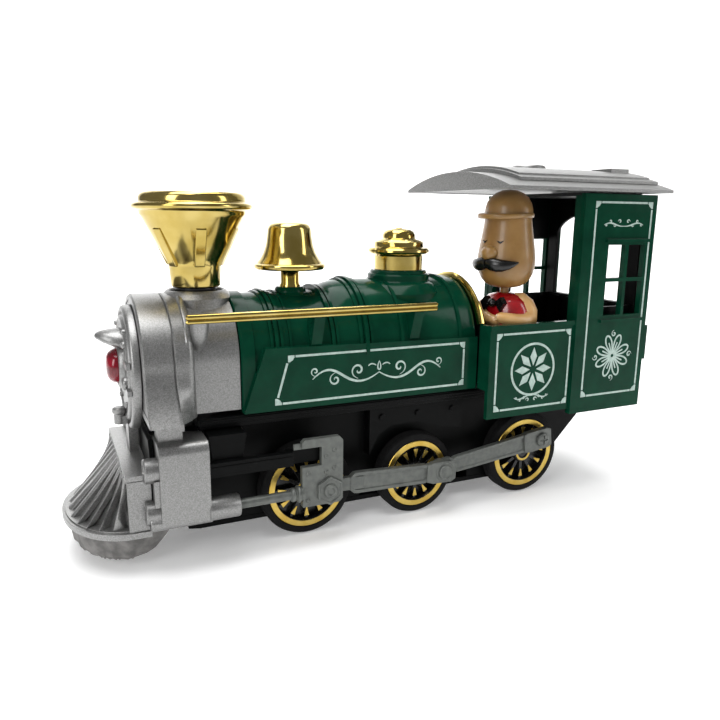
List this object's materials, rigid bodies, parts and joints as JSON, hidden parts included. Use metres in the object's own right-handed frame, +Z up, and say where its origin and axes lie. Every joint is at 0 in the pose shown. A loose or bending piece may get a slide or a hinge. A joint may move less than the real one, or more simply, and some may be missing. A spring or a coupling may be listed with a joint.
{
  "type": "toy locomotive",
  "caption": "Toy steam locomotive with pull-back motor, spoked wheels, sliding side rods, press-down smokestack and a nodding driver in an open cab.",
  "frame": {"origin": "centre of the bounding box's bottom face, on the ground plane", "axes": "+X runs to the rear along the length, the front faces -X; +Y is to the driver's right when facing forwards; +Z is up"},
  "size_m": [0.1796, 0.0578, 0.1048],
  "materials": {
    "black_plastic": "satin black moulding",
    "silver_paint": "satin silver with a fine sparkle",
    "green_paint": "gloss dark green",
    "gold_plate": "bright vacuum-plated gold",
    "red_lens": "clear red",
    "grey_plastic": "satin grey",
    "dark_skirt": "rough dark grey",
    "steel": "plain wire and turned steel",
    "nylon": "natural moulding",
    "tyre_rubber": "ribbed matt black",
    "figure_red": "gloss red with tan arms",
    "figure_tan": "satin tan",
    "figure_cap": "satin light brown"
  },
  "bodies": {
    "locomotive": {"base_frame": "black_plastic", "base_plate": "black_plastic", "footplate": "black_plastic", "slide_bar_l": "black_plastic", "slide_bar_r": "black_plastic", "cylinder_block_l": "silver_paint", "cylinder_block_r": "silver_paint", "cowcatcher": "silver_paint", "pilot_skirt": "dark_skirt", "smokebox": "silver_paint", "smokebox_front": "silver_paint", "headlamp_lens": "red_lens", "stack_spring": "steel", "sound_box": "nylon", "boiler_shell": "green_paint", "handrail_l": "gold_plate", "handrail_r": "gold_plate", "backhead_ring": "gold_plate", "backhead": "black_plastic", "bell": "gold_plate", "dome_cap": "gold_plate", "cab_shell": "green_paint", "cab_liner": "black_plastic", "cab_roof": "silver_paint", "driver_body": "figure_red", "mainspring": "steel", "motor_case": "nylon", "body_screw": "steel"},
    "stack_button": {"stack": "gold_plate"},
    "head": {"driver_head": "figure_tan", "driver_cap": "figure_cap"},
    "crosshead_l": {"crosshead_l": "grey_plastic"},
    "main_rod_l": {"main_rod_l": "grey_plastic", "mid_pin_l": "steel"},
    "side_rod_l": {"side_rod_l": "grey_plastic", "crank_screw_l": "steel"},
    "crosshead_r": {"crosshead_r": "grey_plastic"},
    "main_rod_r": {"main_rod_r": "grey_plastic", "mid_pin_r": "steel"},
    "side_rod_r": {"side_rod_r": "grey_plastic", "crank_screw_r": "steel"},
    "wheelset_front": {"axle_front": "steel", "wheel_front_l": "black_plastic", "wheel_front_r": "black_plastic", "tyre_front_l": "tyre_rubber", "tyre_front_r": "tyre_rubber"},
    "wheelset_middle": {"axle_middle": "steel", "wheel_middle_l": "black_plastic", "wheel_middle_r": "black_plastic", "tyre_middle_l": "tyre_rubber", "tyre_middle_r": "tyre_rubber"},
    "wheelset_rear": {"axle_rear": "steel", "wheel_rear_l": "black_plastic", "wheel_rear_r": "black_plastic", "tyre_rear_l": "tyre_rubber", "tyre_rear_r": "tyre_rubber", "drive_pinion": "nylon"},
    "winding": {"spring_gear": "nylon", "spring_arbor": "steel"}
  },
  "joints": [
    {"name": "stack_press", "type": "slide", "parent": "locomotive", "child": "stack_button", "axis": [0, 0, -1], "range_m": [0, 0.0015], "stiffness_N_per_m": 400, "springref_m": -0.001, "deforming": ["stack_spring"]},
    {"name": "head_nod", "type": "hinge", "parent": "locomotive", "child": "head", "pos_m": [0.0417, -0.0115, 0.0695], "axis": [0, 1, 0], "range_deg": [-5, 5], "stiffness_Nm_per_rad": 0.02},
    {"name": "crosshead_l_slide", "type": "slide", "parent": "locomotive", "child": "crosshead_l", "axis": [1, 0, 0], "range_m": [-0.003, 0.002]},
    {"name": "main_rod_l_hinge", "type": "hinge", "parent": "crosshead_l", "child": "main_rod_l", "pos_m": [-0.0232, -0.021, 0.0153], "axis": [0, 1, 0], "range_deg": [-2, 2]},
    {"name": "side_rod_l_hinge", "type": "hinge", "parent": "main_rod_l", "child": "side_rod_l", "pos_m": [0.0149, -0.021, 0.0138], "axis": [0, 1, 0], "range_deg": [-5, 4]},
    {"name": "crosshead_r_slide", "type": "slide", "parent": "locomotive", "child": "crosshead_r", "axis": [1, 0, 0], "range_m": [-0.003, 0.002]},
    {"name": "main_rod_r_hinge", "type": "hinge", "parent": "crosshead_r", "child": "main_rod_r", "pos_m": [-0.0232, 0.021, 0.0153], "axis": [0, 1, 0], "range_deg": [-2, 2]},
    {"name": "side_rod_r_hinge", "type": "hinge", "parent": "main_rod_r", "child": "side_rod_r", "pos_m": [0.0149, 0.021, 0.0138], "axis": [0, 1, 0], "range_deg": [-5, 4]},
    {"name": "axle_front_spin", "type": "hinge", "parent": "locomotive", "child": "wheelset_front", "pos_m": [-0.0268, 0, 0.0134], "axis": [0, 1, 0], "continuous": true},
    {"name": "axle_middle_spin", "type": "hinge", "parent": "locomotive", "child": "wheelset_middle", "pos_m": [0.0083, 0, 0.0124], "axis": [0, 1, 0], "continuous": true},
    {"name": "axle_rear_spin", "type": "hinge", "parent": "locomotive", "child": "wheelset_rear", "pos_m": [0.0482, 0, 0.0134], "axis": [0, 1, 0], "continuous": true},
    {"name": "winding_spin", "type": "hinge", "parent": "locomotive", "child": "winding", "pos_m": [0.03527, 0, 0.01974], "axis": [0, 1, 0], "continuous": true}
  ],
  "couplings": [
    {"joint": "winding_spin", "follows": "axle_rear_spin", "ratio": -0.5},
    {"joint": "main_rod_l_hinge", "follows": "crosshead_l_slide", "rad_per_m": 5},
    {"joint": "side_rod_l_hinge", "follows": "crosshead_l_slide", "rad_per_m": 17.7},
    {"joint": "crosshead_r_slide", "follows": "crosshead_l_slide", "ratio": 1},
    {"joint": "main_rod_r_hinge", "follows": "crosshead_l_slide", "rad_per_m": 5},
    {"joint": "side_rod_r_hinge", "follows": "crosshead_l_slide", "rad_per_m": 17.7}
  ]
}
